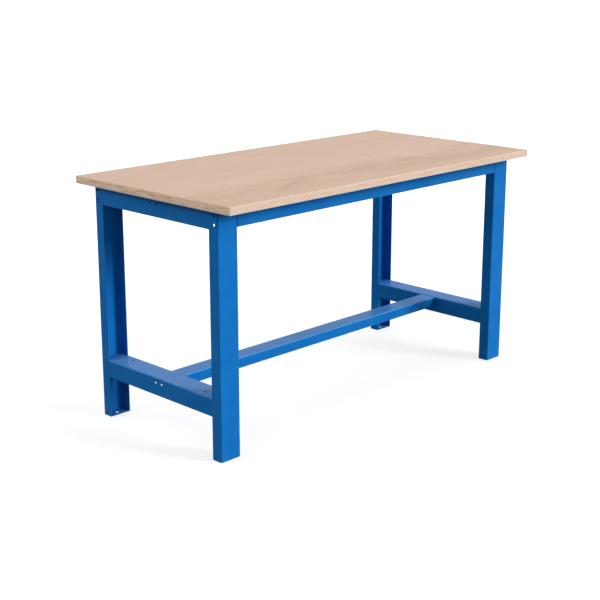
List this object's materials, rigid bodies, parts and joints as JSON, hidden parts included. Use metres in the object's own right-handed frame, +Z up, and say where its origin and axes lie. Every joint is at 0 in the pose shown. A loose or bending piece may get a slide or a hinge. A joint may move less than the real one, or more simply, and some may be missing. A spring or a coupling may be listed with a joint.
{
  "type": "heavy duty workbench",
  "caption": "Heavy duty workbench: plywood worktop on bolted end frames of folded steel channels, joined by long beams and a low central stretcher.",
  "frame": {"origin": "on the floor under the middle of the worktop", "axes": "+X along the bench's length, towards its right end as seen from the front; +Y from the front long side to the back; +Z up"},
  "size_m": [1.5, 0.75, 0.82],
  "materials": {
    "board": "lacquered beech plywood, fine straight grain, plies showing at the edges",
    "paint": "smooth semi-gloss powder coat",
    "zinc": "bright zinc plating"
  },
  "bodies": {
    "root": {"worktop": "board", "leg_front_left": "paint", "leg_back_left": "paint", "leg_front_right": "paint", "leg_back_right": "paint", "foot_plate_front_left": "paint", "foot_plate_back_left": "paint", "foot_plate_front_right": "paint", "foot_plate_back_right": "paint", "upper_end_rail_left": "paint", "upper_end_rail_right": "paint", "lower_end_rail_left": "paint", "lower_end_rail_right": "paint", "long_beam_front": "paint", "long_beam_back": "paint", "beam_end_plate_front_left": "paint", "beam_end_plate_back_left": "paint", "beam_end_plate_front_right": "paint", "beam_end_plate_back_right": "paint", "stretcher": "paint", "stretcher_end_plate_left": "paint", "stretcher_end_plate_right": "paint", "beam_bolts": "zinc", "beam_washers": "zinc", "beam_nuts": "zinc", "stretcher_bolts": "zinc", "stretcher_washers": "zinc", "stretcher_nuts": "zinc", "worktop_screws": "zinc", "worktop_screw_washers": "zinc"}
  },
  "joints": []
}
